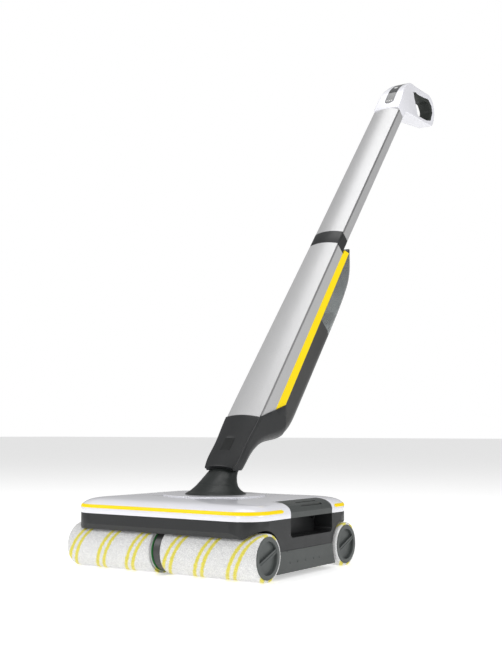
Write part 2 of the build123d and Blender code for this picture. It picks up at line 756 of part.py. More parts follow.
def neck_badge():
    x, s = BADGE
    return block(x, (BADGE_FACE, BADGE_FACE + 1.0), s)


def clean_tank():
    """The clear fresh-water tank, with a round filling neck in its back."""
    outer = body_solid(0) & tank_zone(0)
    inner = body_solid(2.0) & tank_zone(2.0)
    tank = largest(outer) - largest(inner)
    tank -= rod_y(13.4, 0, (70, 100), 400)
    return tank


def tank_cap():
    """The filling cap: a plug in the neck and a low rim with a finger bar."""
    cap = rod_y(13.1, 0, (84, 90.6), 400) + rod_y(15.5, 0, (90.6, 92.4), 400)
    return cap + block((-13, 13), (92.0, 95.0), (398, 402))


def battery_pack():
    return fillet(block((-23.5, 23.5), (47, 82), (196, 328)).edges().filter_by(Axis.Z), 6)


def water_pump():
    pump = rod_x(13, (-19, 12), 50, 138) + rod_x(10, (12, 21), 50, 138)
    return pump + rod_z(3, 0, 50, (148, 160)) + rod_z(3, -8, 50, (112, 128))


def control_board():
    board = block((-20, 20), (20, 21.6), (180, 325))
    for s, size in ((200, 8), (235, 12), (275, 6), (300, 9)):
        board += block((-size, size), (21.6, 27), (s - 6, s + 6))
    return board


def charging_socket():
    body = rod_y(5.95, 0, (76, 89.4), SOCKET_AT)
    return body - rod_y(SOCKET_R, 0, (89.4 - SOCKET_DEPTH, 95), SOCKET_AT)


def tube_solid(low, high, inset):
    return loft([section(s, TUBE_HALF, TUBE_DEPTH, 5, inset) for s in (low, high)])


def trim_band():
    return tube_solid(*BAND, -0.15) - tube_solid(BAND[0] - 1, BAND[1] + 1, 2.0)


def upper_tube():
    """The silver tube, with a spigot at its foot that fills the band."""
    tube = tube_solid(BAND[1], TUBE_TOP, 0) + tube_solid(BAND[0] + 2, BAND[1], 2.1)
    tube -= tube_solid(BAND[0] - 1, BAND[1] + 1, 3.6)
    return tube - tube_solid(BAND[1] + 1, TUBE_TOP + 1, 1.5)


def handle_cable():
    return rod_z(2.2, 0, 12, (326, 925))


# ---------------------------------------------------------------- handle
def handle_profile():
    """Side view of the handle's outside: a bulged front, a level top arm and a slim lower arm."""
    front = Spline((-CROWN, TUBE_TOP), (-5.5, 932), (-6.8, 962), (-1.4, 990), (11.8, 1018), (26.8, 1033))
    top = Line((26.8, 1033), (90.2, 1089.5))
    back = Spline((90.2, 1089.5), (111, 1094), (129, 1085), (140, 1063), (138, 1040))
    under = Line((138, 1040), (HEEL_DEPTH, 930))
    heel = Line((HEEL_DEPTH, 930), (HEEL_DEPTH, TUBE_TOP))
    foot = Line((HEEL_DEPTH, TUBE_TOP), (-CROWN, TUBE_TOP))
    return make_face([front, top, back, under, heel, foot])


def handle_hole():
    """Side view of the finger gap."""
    corners = [(31.8, 1019.3), (41.8, 1019.2), (98, 1070.4), (117, 1067.3), (124, 1050.2), (118, 1032.3)]
    corners += [(72.5, 985.6)]
    return make_face(FilletPolyline(*corners, radius=[2.5, 2.5, 8, 8, 8, 8, 4], close=True))


def handle_outline():
    """Front view: full tube width at the foot, narrowing to the grip."""
    right = [(TUBE_HALF, TUBE_TOP), (27.2, 932), (24.6, 960), (20.6, 988), (16.8, 1016)]
    right += [(13.8, 1050), (12.4, 1110)]
    left = [(-x, s) for x, s in right]
    foot = Line(left[0], right[0])
    head = Line(left[-1], right[-1])
    return make_face([Spline(*right), Spline(*left), foot, head])


def handle_solid():
    side = extrude(Plane.YZ * handle_profile(), 40, both=True)
    front = extrude(Plane.XZ * handle_outline(), 200, both=True)
    return side & front


def grip_zone():
    """Side view of the soft grip, which lines the gap along the top arm and round its back."""
    points = [(33.8, 1017), (43.8, 1030), (55, 1037.7), (95, 1079.4), (113, 1082.3), (126, 1071.2)]
    points += [(129, 1049.2), (121, 1037.3), (113, 1039.3), (92, 1039.4), (67, 1019.6), (46.6, 1004.7)]
    return side_prism(points, (-60, 60))


def handle_hollow():
    """The space inside the handle, open to the tube at its foot and running up the top arm."""
    side = [(-0.6, TUBE_TOP - 1), (-1, 935), (-2.4, 962), (2.8, 990), (15.4, 1014), (30.8, 1028.5)]
    side += [(91, 1083), (87, 1075), (52, 1038.7), (40.8, 1030.3), (30.3, 1016), (30.8, 1012)]
    side += [(40.8, 1008.8), (60.5, 984.7), (30.3, 949.8), (22, 937), (22, TUBE_TOP - 1)]
    right = [(24.8, TUBE_TOP - 1), (24.4, 932), (21.8, 960), (17.8, 988), (14, 1016)]
    right += [(11, 1050), (9.6, 1090)]
    left = [(-x, s) for x, s in reversed(right)]
    front = extrude(Plane.XZ * make_face(Polyline(*right, *left, close=True)), 200, both=True)
    return side_prism(side, (-40, 40)) & front


def panel_prism(half, low, high):
    """The control panel's outline seen from the front, taken straight back."""
    straight = Pos(0, (low + high) / 2) * Rectangle(2 * half, high - low - 2 * half)
    shape = straight + Pos(0, low + half) * Circle(half) + Pos(0, high - half) * Circle(half)
    return extrude(Plane.XZ.offset(-40) * shape, 80) & block((-20, 20), (-40, 14), (900, 1040))


def handle_parts():
    """The white handle, its soft grip, the control panel, its lights and the power button."""
    solid = handle_solid()
    hole = extrude(Plane.YZ * handle_hole(), 60, both=True)
    loop = solid - hole
    grip = largest(loop & grip_zone())
    inlay = (loop & panel_prism(9.5, 926, 1026)) - Pos(0, PANEL_DEPTH, -PANEL_DEPTH / 2) * solid
    shell = loop - grip_zone() - handle_hollow() - inlay
    bore = rod_y(BUTTON_R + 0.15, 0, (-30, 0), BUTTON_AT)
    shell -= (bore & solid) - Pos(0, PANEL_DEPTH + 0.8, 0) * solid
    button = rod_y(BUTTON_R, 0, (-30, -3), BUTTON_AT) & (Pos(0, -0.5, 0) * solid)
    button -= Pos(0, 1.6, 0) * solid
    panel = largest(inlay) - bore
    lights = []
    for x in (-5, 0, 5):
        light = block((x - 1.6, x + 1.6), (-30, 0), (933, 935)) & solid
        light -= Pos(0, 0.7, 0) * solid
        panel -= light
        lights.append(light)
    return largest(shell), grip, largest(panel), largest(button), lights


# ---------------------------------------------------------------- everything
def save_head():
    cover, stripes, right_latch = head_cover_parts()
    left_case, right_case = drive_case()
    save("head_chassis", head_chassis())
    save("head_cover", cover)
    save("cover_stripes", stripes)
    save("latch_right", right_latch)
    save("latch_left", mirrored(right_latch))
    save("joint_plate", joint_plate())
    save("joint_bracket", joint_bracket())
    save("joint_boot", joint_boot())
    save("head_screws", head_screws())
    save("drive_case_left", left_case)
    save("drive_case_right", right_case)
    save("gear_motor", gear_motor())
    save("drive_pinion", drive_pinion())
    save("counter_gear", counter_gear())
    save("drive_belts", drive_belts())
    save("axle_bearings", axle_bearings())
    save("water_bars", water_bars())
    save("water_hoses", water_hoses())
    save("latch_springs", latch_springs())
    save("dirty_tank", dirty_tank())
    save("hair_filters", hair_filters())
    save("scraper_lips", scraper_lips())


def save_stick():
    collar, front, stripes, rear = stick_shells()
    shell, grip, panel, button, lights = handle_parts()
    local = {
        "neck_collar": collar,
        "front_shell": front,
        "accent_stripes": stripes,
        "rear_housing": rear,
        "neck_badge": neck_badge(),
        "clean_tank": clean_tank(),
        "tank_cap": tank_cap(),
        "battery_pack": battery_pack(),
        "water_pump": water_pump(),
        "control_board": control_board(),
        "charging_socket": charging_socket(),
        "stick_screws": stick_screws(),
        "trim_band": trim_band(),
        "upper_tube": upper_tube(),
        "handle_cable": handle_cable(),
        "handle_shell": shell,
        "handle_grip": grip,
        "control_panel": panel,
        "power_button": button,
        "indicator_lights": lights,
    }
    for name, shapes in local.items():
        shapes = shapes if isinstance(shapes, list) else [shapes]
        save(name, [STICK * shape for shape in shapes])


def main():
    os.makedirs("parts", exist_ok=True)
    save_head()
    save_rollers()
    save("joint_cross", joint_cross())
    save("neck_yoke", neck_yoke())
    save_stick()


main()
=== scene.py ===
import json
from math import cos, sin, pi, radians, atan2, hypot, tau

import bmesh
import bpy
from mathutils import Matrix, Vector, noise


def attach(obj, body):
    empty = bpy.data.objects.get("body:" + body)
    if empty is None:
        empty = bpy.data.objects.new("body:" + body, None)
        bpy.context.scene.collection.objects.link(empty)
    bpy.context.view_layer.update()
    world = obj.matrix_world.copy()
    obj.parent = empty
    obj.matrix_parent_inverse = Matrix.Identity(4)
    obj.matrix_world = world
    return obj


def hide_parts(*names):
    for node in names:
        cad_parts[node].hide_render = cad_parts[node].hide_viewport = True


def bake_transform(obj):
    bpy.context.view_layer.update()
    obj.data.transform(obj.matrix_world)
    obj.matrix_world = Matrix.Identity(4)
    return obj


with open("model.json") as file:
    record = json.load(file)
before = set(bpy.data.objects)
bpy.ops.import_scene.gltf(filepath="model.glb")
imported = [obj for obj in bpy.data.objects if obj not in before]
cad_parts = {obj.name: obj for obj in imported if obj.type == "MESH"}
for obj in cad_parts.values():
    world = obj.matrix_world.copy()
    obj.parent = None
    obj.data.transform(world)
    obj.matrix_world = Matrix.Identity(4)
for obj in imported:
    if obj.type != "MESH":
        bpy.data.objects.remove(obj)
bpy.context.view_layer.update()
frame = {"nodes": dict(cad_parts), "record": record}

MM = 0.001
NODES = frame["nodes"]
COLLECTION = bpy.context.scene.collection
LEAN = radians(39.3)
# the CREASE values place a painted shade band along the groove in the stick's sides
# how far the groove in the stick's sides lies in front of the origin, measured square to the stick
CREASE_PLANE = 0.0756
CREASE_CORE = 0.0014
CREASE_EDGE = 0.0030
CREASE_SIDE = (0.0225, 0.0240)
CREASE_SHADE = 0.42
AXLE_Z = 0.03125
ROLLER_R = 0.03125


# ------------------------------------------------------------------ materials
class Shader:
    """A node material with short calls for the maths that its patterns need."""

    def __init__(self, name, **sockets):
        self.material = bpy.data.materials.new(name)
        self.material.use_nodes = True
        self.tree = self.material.node_tree
        self.bsdf = self.tree.nodes["Principled BSDF"]
        for key, value in sockets.items():
            self.bsdf.inputs[key.replace("_", " ")].default_value = value
        self.place = self.tree.nodes.new("ShaderNodeTexCoord").outputs["Object"]

    def put(self, socket, value):
        if isinstance(value, bpy.types.NodeSocket):
            self.tree.links.new(value, socket)
        else:
            socket.default_value = value

    def node(self, kind, inputs=(), out=0, **settings):
        made = self.tree.nodes.new("ShaderNode" + kind)
        for key, value in settings.items():
            setattr(made, key, value)
        for key, value in dict(inputs).items():
            self.put(made.inputs[key], value)
        return made.outputs[out]

    def math(self, operation, *values):
        return self.node("Math", enumerate(values), operation=operation)

    def noise(self, scale, detail=3.0, roughness=0.5, stretch=None, place=None):
        where = place or self.place
        if stretch:
            where = self.node("Mapping", {0: where, "Scale": stretch})
        settings = {"Vector": where, "Scale": scale, "Detail": detail, "Roughness": roughness}
        return self.node("TexNoise", settings)

    def remap(self, value, low, high, new_low, new_high):
        return self.node("MapRange", enumerate((value, low, high, new_low, new_high)))

    def mix(self, factor, first, second):
        made = self.tree.nodes.new("ShaderNodeMix")
        made.data_type = "RGBA"
        self.put(made.inputs[0], factor)
        self.put(made.inputs[6], first)
        self.put(made.inputs[7], second)
        return made.outputs[2]

    def bump(self, height, distance, strength=1.0, below=None):
        inputs = {"Height": height, "Distance": distance, "Strength": strength}
        if below:
            inputs["Normal"] = below
        return self.node("Bump", inputs)

    def finish(self, colour=None, rough=None, normal=None):
        for key, value in (("Base Color", colour), ("Roughness", rough), ("Normal", normal)):
            if value is not None:
                self.put(self.bsdf.inputs[key], value)
        return self.material


def rgb(r, g, b):
    return (r, g, b, 1.0)


def shade(colour, factor):
    return (colour[0] * factor, colour[1] * factor, colour[2] * factor, 1.0)


def plastic(name, colour, rough, grain=0.0, grain_scale=1400, vary=0.06, wear=0.0, **sockets):
    """Moulded plastic: slight tone drift, faint handling marks and the mould's own texture."""
    s = Shader(name, **sockets)
    drift = s.remap(s.noise(9, 3), 0.3, 0.7, 0, 1)
    tone = s.mix(drift, shade(colour, 1 - vary), shade(colour, 1 + vary))
    smear = s.noise(45, 5, 0.65)
    roughness = s.remap(smear, 0.3, 0.75, rough * 0.88, min(rough * 1.15, 1))
    if wear:
        edge = s.node("NewGeometry", out=7)
        patches = s.remap(s.noise(160, 4), 0.35, 0.65, 0.3, 1)
        rub = s.math("MULTIPLY", s.remap(edge, 0.53, 0.60, 0, wear), patches)
        tone = s.mix(rub, tone, shade(colour, 2.2))
    normal = None
    if grain:
        cells = s.noise(grain_scale, 2, 0.6)
        normal = s.bump(cells, grain)
    return s.finish(tone, roughness, normal)


def silver(name, colour, rough, flake, **sockets):
    """Satin metallic surface with a fine flake, faint lines along the stick and painted shade in the groove along the
    stick's sides.
    """
    s = Shader(name, **sockets)
    flakes = s.node("TexVoronoi", {"Vector": s.place, "Scale": 2600.0}, out=1)
    value = s.node("SeparateColor", {0: flakes})
    tone = s.mix(s.math("MULTIPLY", value, flake), shade(colour, 1.0), shade(colour, 0.72))
    tone = s.mix(s.remap(s.noise(14, 4), 0.35, 0.7, 0, 0.22), tone, shade(colour, 0.88))
    depth = s.node("VectorMath", {0: s.place, 1: (0, cos(LEAN), -sin(LEAN))}, out=1, operation="DOT_PRODUCT")
    off_crease = s.math("ABSOLUTE", s.math("ADD", depth, CREASE_PLANE))
    beside = s.math("ABSOLUTE", s.node("SeparateXYZ", {0: s.place}))
    in_groove = s.remap(off_crease, CREASE_CORE, CREASE_EDGE, 1, 0)
    on_side = s.remap(beside, *CREASE_SIDE, 0, 1)
    # painted shade: the silver is darkened in the groove along the stick's sides, where shade falls in the crease
    painted_crease_shade = s.math("MULTIPLY", in_groove, on_side)
    tone = s.mix(painted_crease_shade, tone, shade(colour, CREASE_SHADE))
    along_stick = {0: s.place, "Rotation": (LEAN, 0, 0), "Scale": (1, 1, 0.02)}
    lined = s.node("Mapping", along_stick, vector_type="POINT")
    lines = s.node("TexNoise", {"Vector": lined, "Scale": 1500.0, "Detail": 2.0})
    roughness = s.remap(lines, 0.3, 0.7, rough * 0.85, rough * 1.2)
    return s.finish(tone, roughness, s.bump(lines, 0.00002, 0.35, s.bump(value, 0.00001, 0.3)))


def rubber(name, colour, rough=0.62, grain=0.00006, **sockets):
    s = Shader(name, **sockets)
    tone = s.mix(s.remap(s.noise(30, 4), 0.3, 0.7, 0, 1), shade(colour, 0.8), shade(colour, 1.25))
    dust = s.remap(s.noise(220, 3), 0.62, 0.8, 0, 0.25)
    tone = s.mix(dust, tone, shade(colour, 2.4))
    roughness = s.remap(s.noise(80, 4), 0.3, 0.7, rough - 0.1, rough + 0.1)
    return s.finish(tone, roughness, s.bump(s.noise(1700, 2), grain))


def metal(name, colour, rough, axis=(1, 30, 30), scale=220, **sockets):
    """Turned or ground metal with its tool lines along the axis."""
    s = Shader(name, Metallic=1.0, **sockets)
    lines = s.noise(scale, 4, 0.6, stretch=axis)
    tone = s.mix(s.remap(lines, 0.3, 0.7, 0, 1), shade(colour, 0.85), shade(colour, 1.1))
    tone = s.mix(s.remap(s.noise(60, 4), 0.55, 0.8, 0, 0.4), tone, shade(colour, 0.7))
    roughness = s.remap(lines, 0.3, 0.7, rough * 0.8, rough * 1.3)
    return s.finish(tone, roughness, s.bump(lines, 0.00003, 0.5))


def clear_plastic(name, colour):
    """Smoky clear tank wall."""
    s = Shader(name, Transmission_Weight=0.82, IOR=1.46)
    drift = s.noise(18, 3)
    height = s.node("SeparateXYZ", {0: s.place}, out=2)
    tone = s.mix(s.remap(height, 0.385, 0.52, 0, 1), shade(colour, 2.0), shade(colour, 1.15))
    tone = s.mix(s.remap(drift, 0.35, 0.7, 0, 0.3), tone, shade(colour, 0.85))
    return s.finish(tone, s.remap(s.noise(60, 4), 0.3, 0.7, 0.08, 0.16), s.bump(drift, 0.0003, 0.2))


def circuit(name):
    """Green laminate with paler tracks."""
    s = Shader(name, Roughness=0.35)
    tracks = s.node("TexBrick", {"Vector": s.node("Mapping", {0: s.place, "Rotation": (LEAN, 0, 0)}),
                                 "Scale": 160.0, "Mortar Size": 0.06, "Color1": rgb(0.015, 0.13, 0.05),
                                 "Color2": rgb(0.02, 0.16, 0.06), "Mortar": rgb(0.06, 0.3, 0.12)})
    return s.finish(tracks, s.remap(s.noise(90), 0.3, 0.7, 0.3, 0.5))


def plush(name, axle_y, offset):
    """White microfibre pile with pairs of thin coloured lines wound round the roller."""
    s = Shader(name, Roughness=0.95, Sheen_Weight=0.35, Sheen_Roughness=0.5, Specular_IOR_Level=0.15)
    parts = s.tree.nodes.new("ShaderNodeSeparateXYZ")
    s.put(parts.inputs[0], s.place)
    x, y, z = parts.outputs
    angle = s.math("ARCTAN2", s.math("SUBTRACT", z, AXLE_Z), s.math("SUBTRACT", y, axle_y))
    wobble = s.math("MULTIPLY", s.math("SUBTRACT", s.noise(420, 4), 0.5), 0.0042)
    pitch = 0.0525
    travel = s.math("ADD", x, s.math("MULTIPLY", angle, 2 * pitch / tau))
    shifted = s.math("ADD", s.math("SUBTRACT", travel, offset), wobble)
    place = s.math("ABSOLUTE", s.math("SUBTRACT", s.math("PINGPONG", shifted, pitch / 2), 0.0))
    line = s.math("ABSOLUTE", s.math("SUBTRACT", place, 0.0058))
    stripe = s.remap(line, 0.0021, 0.0037, 1, 0)
    tufts = s.noise(900, 4, 0.7)
    lump = s.noise(260, 3, 0.6)
    white = s.mix(s.remap(tufts, 0.3, 0.62, 0, 1), rgb(0.48, 0.48, 0.48), rgb(0.92, 0.92, 0.91))
    white = s.mix(s.remap(lump, 0.3, 0.58, 0.4, 0), white, rgb(0.56, 0.56, 0.58))
    yellow = s.mix(s.remap(tufts, 0.3, 0.62, 0, 1), rgb(0.52, 0.45, 0.02), rgb(0.86, 0.76, 0.05))
    tone = s.mix(s.math("MULTIPLY", stripe, 0.92), white, yellow)
    normal = s.bump(tufts, 0.0006, 0.8, s.bump(lump, 0.001, 0.7))
    return s.finish(tone, None, normal)


def floor_material():
    s = Shader("pale_floor", Specular_IOR_Level=0.25, Emission_Color=rgb(1, 1, 1), Emission_Strength=0.45)
    tone = s.mix(s.remap(s.noise(3, 3), 0.3, 0.7, 0, 1), rgb(0.93, 0.93, 0.93), rgb(0.95, 0.95, 0.95))
    return s.finish(tone, s.remap(s.noise(20), 0.3, 0.7, 0.5, 0.6))


MATERIALS = {
    "white_shell": plastic("white_shell", (0.83, 0.83, 0.88), 0.16, vary=0.015,
                           Coat_Weight=0.4, Coat_Roughness=0.06),
    "dark_plastic": plastic("dark_plastic", (0.020, 0.021, 0.022), 0.42, 0.00003, vary=0.12, wear=0.2,
                            Specular_IOR_Level=0.35),
    "silver_shell": silver("silver_shell", (0.60, 0.60, 0.605), 0.44, 0.5, Metallic=0.45),
    "silver_tube": silver("silver_tube", (0.58, 0.58, 0.585), 0.42, 0.5, Metallic=0.5),
    "accent": plastic("accent", (1.0, 0.74, 0.0), 0.4, vary=0.02, Specular_IOR_Level=0.2),
    "clear_tank": clear_plastic("clear_tank", (0.36, 0.38, 0.38)),
    "soft_grip": rubber("soft_grip", (0.018, 0.022, 0.019), 0.58, Specular_IOR_Level=0.35),
    "boot_rubber": rubber("boot_rubber", (0.013, 0.016, 0.015), 0.42, 0.00003, Specular_IOR_Level=0.35),
    "belt_rubber": rubber("belt_rubber", (0.015, 0.015, 0.015), 0.7, Specular_IOR_Level=0.3),
    "steel": metal("steel", (0.60, 0.60, 0.62), 0.28),
    "motor_metal": metal("motor_metal", (0.36, 0.37, 0.39), 0.38),
    "cast_alloy": metal("cast_alloy", (0.45, 0.46, 0.47), 0.55, axis=(1, 1, 1), scale=500),
    "core_plastic": plastic("core_plastic", (0.030, 0.20, 0.05), 0.45, 0.00003, vary=0.1),
    "cap_plastic": plastic("cap_plastic", (0.070, 0.078, 0.076), 0.42, 0.00003, vary=0.1, wear=0.15,
                           Specular_IOR_Level=0.4),
    "gear_plastic": plastic("gear_plastic", (0.70, 0.68, 0.62), 0.4, 0.00002),
    "inner_plastic": plastic("inner_plastic", (0.048, 0.048, 0.047), 0.38, 0.00003, vary=0.12, wear=0.15,
                             Specular_IOR_Level=0.4),
    "tray_plastic": plastic("tray_plastic", (0.060, 0.066, 0.064), 0.42, 0.00004, vary=0.1, wear=0.15,
                            Specular_IOR_Level=0.35),
    "board": circuit("board"),
    "cell_pack": plastic("cell_pack", (0.03, 0.03, 0.035), 0.5, 0.00003),
    "panel_gloss": plastic("panel_gloss", (0.055, 0.058, 0.060), 0.14, vary=0.05, Coat_Weight=0.5),
    "badge_black": plastic("badge_black", (0.008, 0.009, 0.009), 0.3, 0.00002, vary=0.1),
    "button_white": plastic("button_white", (0.8, 0.8, 0.8), 0.3, 0.00001, vary=0.02),
}
PLUSH = {}
for row, axle_y in (("front", -0.10375), ("rear", 0.10375)):
    for hand, start in (("right", 0.009), ("left", -0.056)):
        # the line passes x = start where the angle round the axle is -119 degrees
        PLUSH[row, hand] = plush(f"plush_{row}_{hand}", axle_y, start + 2 * 0.0525 * (-119 / 360))


def dress(obj, slot):
    """Give a piece one of the material slots' finishes."""
    obj.data.materials.clear()
    obj.data.materials.append(MATERIALS[slot])


# ------------------------------------------------------------------ CAD nodes that stay
for entry in frame["record"]["subparts"]:
    node = NODES[entry["node"]]
    if entry["material_slot"] != "plush":
        dress(node, entry["material_slot"])


def weld_and_round(name, width, angle=38):
    """Join the split edges of a CAD node and give its sharp edges a small real radius."""
    obj = NODES[name]
    obj.modifiers.new("weld", "WELD").merge_threshold = 0.000004
    bevel = obj.modifiers.new("edges", "BEVEL")
    bevel.width = width
    bevel.segments = 2
    bevel.limit_method = "ANGLE"
    bevel.angle_limit = radians(angle)
    bevel.use_clamp_overlap = True
    bevel.harden_normals = False


# ------------------------------------------------------------------ mesh helpers
def mesh_object(name, bm, slot, body, smooth=True):
    bmesh.ops.recalc_face_normals(bm, faces=bm.faces)
    mesh = bpy.data.meshes.new(name)
    bm.to_mesh(mesh)
    bm.free()
    for polygon in mesh.polygons:
        polygon.use_smooth = smooth
    obj = bpy.data.objects.new(name, mesh)
    COLLECTION.objects.link(obj)
    if slot in MATERIALS:
        dress(obj, slot)
    if body:
        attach(obj, body)
    return obj


def apply_modifiers(obj):
    """Turn the modifiers' result into the object's own mesh."""
    bpy.context.view_layer.update()
    graph = bpy.context.evaluated_depsgraph_get()
    made = bpy.data.meshes.new_from_object(obj.evaluated_get(graph))
    obj.modifiers.clear()
    obj.data = made
    return obj


def bridge(bm, rings, close=False):
    """Quads between successive rings of vertices; the rings themselves are closed."""
    pairs = list(zip(rings, rings[1:])) + ([(rings[-1], rings[0])] if close else [])
    for first, second in pairs:
        count = len(first)
        for i in range(count):
            j = (i + 1) % count
            bm.faces.new((first[i], first[j], second[j], second[i]))


def smooth_table(table, x):
    """Smooth interpolation through (x, value) pairs."""
    for i in range(len(table) - 1):
        if x <= table[i + 1][0] or i == len(table) - 2:
            break
    (x1, y1), (x2, y2) = table[i], table[i + 1]
    before = table[i - 1] if i else table[i]
    after = table[i + 2] if i + 2 < len(table) else table[i + 1]
    m1 = (y2 - before[1]) / (x2 - before[0])
    m2 = (after[1] - y1) / (after[0] - x1)
    u, h = (x - x1) / (x2 - x1), x2 - x1
    return ((2 * u**3 - 3 * u**2 + 1) * y1 + (u**3 - 2 * u**2 + u) * h * m1
            + (3 * u**2 - 2 * u**3) * y2 + (u**3 - u**2) * h * m2)


def remeshed(node, name, voxel, rounds, body, slot, keep=0.6):
    """A copy of a CAD node with its edges melted into soft moulded radii."""
    obj = bpy.data.objects.new(name, NODES[node].data.copy())
    COLLECTION.objects.link(obj)
    remesh = obj.modifiers.new("remesh", "REMESH")
    remesh.mode = "VOXEL"
    remesh.voxel_size = voxel
    smooth = obj.modifiers.new("smooth", "SMOOTH")
    smooth.iterations = rounds
    smooth.factor = 0.5
    if keep < 1:
        obj.modifiers.new("fewer", "DECIMATE").ratio = keep
    apply_modifiers(obj)
    for polygon in obj.data.polygons:
        polygon.use_smooth = True
    dress(obj, slot)
    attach(obj, body)
    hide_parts(node)
    return obj


# ------------------------------------------------------------------ plush rollers
def plush_sleeve(row, hand):
    """The pile of one roller: tufted skin over a closed tube."""
    side = 1 if hand == "right" else -1
    axle_y = -0.10375 if row == "front" else 0.10375
    low, high, face = 0.0089, 0.1610, 0.1590
    inner, socket, skin = 0.0246, 0.0271, ROLLER_R - 0.0002
    # the pile's section along X: inner end, long face, outer shoulder, and the socket round the end cap
    profile = [(low, inner), (low, inner + 0.0015), (low, inner + 0.0032)]
    for step in range(6):
        a = pi / 2 * step / 5
        profile.append((low + 0.003 * (1 - sin(a)), skin - 0.003 * (1 - cos(pi / 2 - a))))
    for step in range(1, 152):
        profile.append((low + 0.003 + (high - low - 0.0052) * step / 152, skin))
    for step in range(6):
        a = pi / 2 * step / 5
        profile.append((high - 0.0022 * (1 - sin(a)), skin - 0.0022 * (1 - cos(a))))
    profile += [(high - 0.0001, socket + 0.0007), (high - 0.0006, socket), (face, socket), (face, inner)]
    around = 190
    bm = bmesh.new()
    rings = []
    for x, radius in profile:
        ring = []
        for i in range(around):
            a = tau * i / around
            r = radius
            if radius > inner + 0.003 and x > low:
                shift = 9 if row == "rear" else 0
                spot = Vector((x * 620 * side, cos(a) * radius * 620, sin(a) * radius * 620 + shift))
                r += 0.00045 * noise.noise(spot) + 0.00030 * noise.noise(spot * 0.31) - 0.00025
            ring.append(bm.verts.new((side * x, axle_y + r * cos(a), AXLE_Z + r * sin(a))))
        rings.append(ring)
    bridge(bm, rings)
    for i in range(around):
        j = (i + 1) % around
        bm.faces.new((rings[-1][i], rings[-1][j], rings[0][j], rings[0][i]))
    obj = mesh_object(f"pile_{row}_{hand}", bm, None, f"{row}_{hand}_roller")
    obj.data.materials.append(PLUSH[row, hand])
    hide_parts(f"{row}_{hand}_sleeve")


for row in ("front", "rear"):
    for hand in ("right", "left"):
        plush_sleeve(row, hand)


# ------------------------------------------------------------------ head cover
COVER_BY_INSET = ((0.0, 85.0), (1.8, 89.5), (5.5, 93.0), (11.0, 95.8), (19.0, 97.6), (34.0, 98.9), (60.0, 100.2),
                  (90.0, 100.9))


def cover_z(inset):
    return smooth_table(COVER_BY_INSET, inset)


def outline(inset, corner_steps=14, side_steps=12):
    """Rounded rectangle of the cover at an inset, in millimetres, from the right side's middle round to it."""
    half_x, half_y = 158 - inset, 134 - inset
    radius = 39 - 0.36 * inset
    points = []
    corners = ((1, 1, 0), (-1, 1, 90), (-1, -1, 180), (1, -1, 270))
    for index, (sx, sy, turn) in enumerate(corners):
        cx, cy = sx * (half_x - radius), sy * (half_y - radius)
        for step in range(corner_steps + 1):
            a = radians(turn + 90 * step / corner_steps)
            points.append((cx + radius * cos(a), cy + radius * sin(a)))
        nx, ny, nt = corners[(index + 1) % 4]
        ex, ey = nx * (half_x - radius), ny * (half_y - radius)
        a = radians(turn + 90)
        start = (cx + radius * cos(a), cy + radius * sin(a))
        end = (ex + radius * cos(a), ey + radius * sin(a))
        for step in range(1, side_steps):
            u = step / side_steps
            points.append((start[0] + (end[0] - start[0]) * u, start[1] + (end[1] - start[1]) * u))
    return points


def cover_stations(shrink):
    """(inset, z) down the cover's shoulder and across its top, moved in by shrink."""
    stations = [(shrink, 77.5), (shrink, 79.5), (shrink, 81.5)]
    for inset in (0.0, 0.25, 0.6, 1.1, 1.8, 2.8, 4.0, 5.5, 7.5, 10.0, 13.0, 17.0, 22.0, 28.0, 35.0, 44.0, 54.0, 66.0):
        stations.append((inset + shrink, cover_z(inset) - shrink))
    return stations


def head_cover():
    bm = bmesh.new()
    skins = []
    for shrink in (0.0, 2.5):
        rings = []
        for inset, z in cover_stations(shrink):
            rings.append([bm.verts.new((x * MM, y * MM, z * MM)) for x, y in outline(inset)])
        bridge(bm, rings)
        bm.faces.new(rings[-1])
        skins.append(rings)
    bridge(bm, [skins[0][0], skins[1][0]])
    cover = mesh_object("white_cover", bm, "white_shell", "floor_head")
    cutters = [oval_cutter()]
    for side in (-1, 1):
        cutters.append(box_cutter((side * 131, side * 175), (-43, 69), (70, 110)))
    for cutter in cutters:
        cut = cover.modifiers.new("cut", "BOOLEAN")
        cut.operation = "DIFFERENCE"
        cut.solver = "EXACT"
        cut.object = cutter
    edges = cover.modifiers.new("edges", "BEVEL")
    edges.width = 0.0006
    edges.segments = 2
    edges.limit_method = "ANGLE"
    edges.angle_limit = radians(50)
    apply_modifiers(cover)
    for cutter in cutters:
        bpy.data.objects.remove(cutter)
    for polygon in cover.data.polygons:
        polygon.use_smooth = True
    cover.data.set_sharp_from_angle(angle=radians(48))
    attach(cover, "floor_head")
    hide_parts("head_cover")
    return cover


def oval_cutter():
    bm = bmesh.new()
    rings = []
    for z in (90, 110):
        turns = [tau * i / 96 for i in range(96)]
        rings.append([bm.verts.new((78 * MM * cos(a), 70 * MM * sin(a), z * MM)) for a in turns])
    bridge(bm, rings)
    for ring in rings:
        bm.faces.new(ring)
    return mesh_object("cut_oval", bm, None, None)


def box_cutter(x, y, z):
    bm = bmesh.new()
    x = sorted(x)
    rings = []
    for px in x:
        ring = []
        for py, pz in ((y[0], z[0]), (y[1], z[0]), (y[1], z[1]), (y[0], z[1])):
            ring.append(bm.verts.new((px * MM, py * MM, pz * MM)))
        rings.append(ring)
    bridge(bm, rings)
    for ring in rings:
        bm.faces.new(ring)
    return mesh_object("cut_box", bm, None, None)


def shoulder_inset(z):
    """How far the cover's outline has moved in at a height on its shoulder."""
    table = ((77.5, 0.0), (85.0, 0.0), (86.5, 0.25), (88.0, 0.85), (89.5, 1.8), (91.0, 3.1))
    return smooth_table(table, z)


